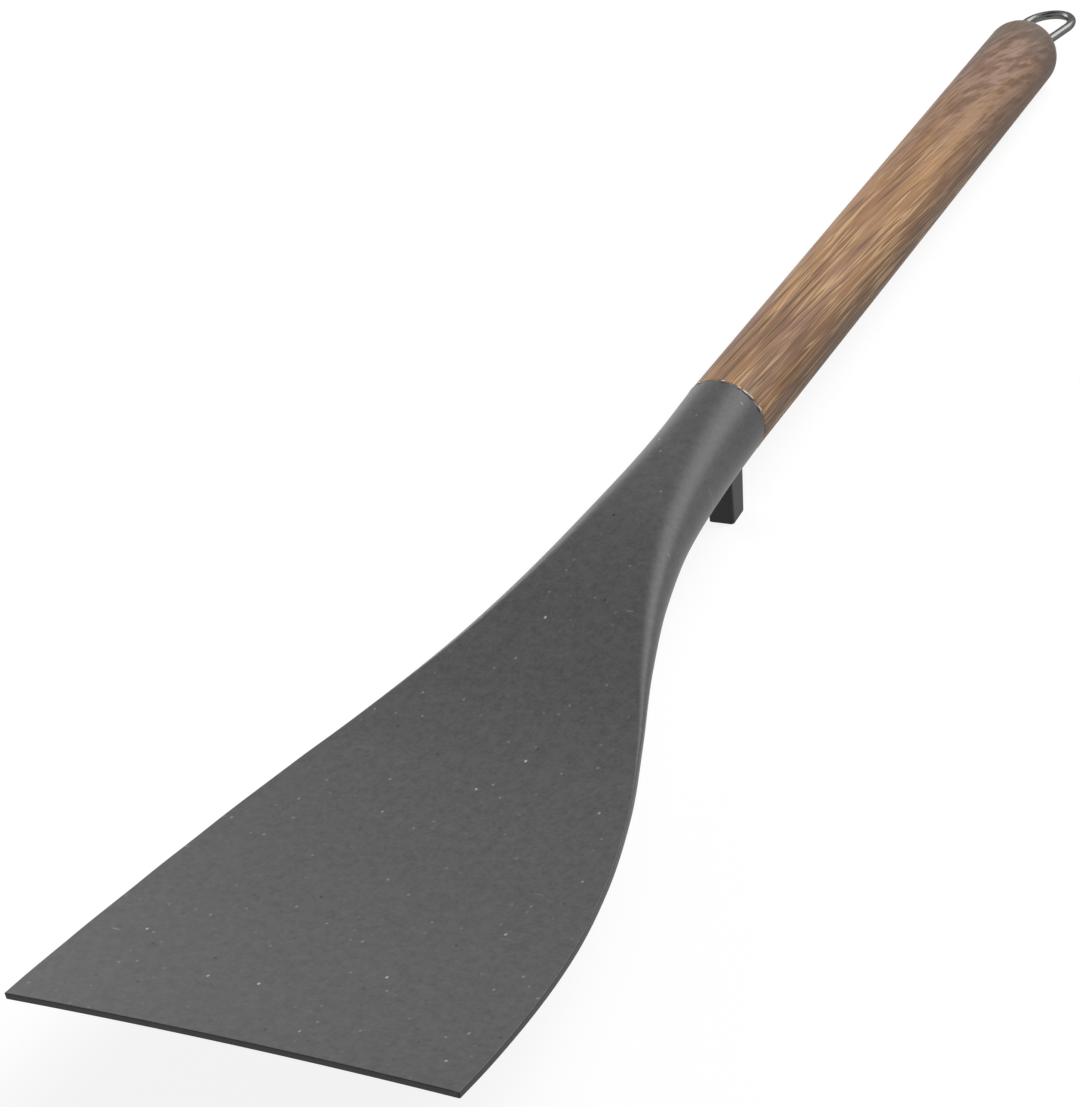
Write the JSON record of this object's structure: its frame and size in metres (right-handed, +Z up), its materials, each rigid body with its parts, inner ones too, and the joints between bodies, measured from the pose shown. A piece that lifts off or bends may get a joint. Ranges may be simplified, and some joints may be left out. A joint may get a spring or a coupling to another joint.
{
  "type": "kitchen spatula",
  "caption": "Flat kitchen turner: a moulded nylon head with a wide square-ended blade and a rest foot, glued to a turned wooden handle with a wire hanging loop.",
  "frame": {"origin": "centre of the part's box, on the table that the foot and the handle's tail stand on", "axes": "+Y along the handle towards the hanging loop, +Z up, the blade towards -Y and +X across the blade"},
  "size_m": [0.0916, 0.3828, 0.0306],
  "materials": {
    "nylon": "fine matt grain, dark grey",
    "wood": "oiled brown hardwood with dark streaks",
    "steel_wire": "polished stainless wire",
    "adhesive": "cured whitish adhesive"
  },
  "bodies": {
    "root": {"nylon_head": "nylon", "wood_handle": "wood", "tang_adhesive": "adhesive", "hanging_loop": "steel_wire", "loop_adhesive_right": "adhesive", "loop_adhesive_left": "adhesive"}
  },
  "joints": []
}
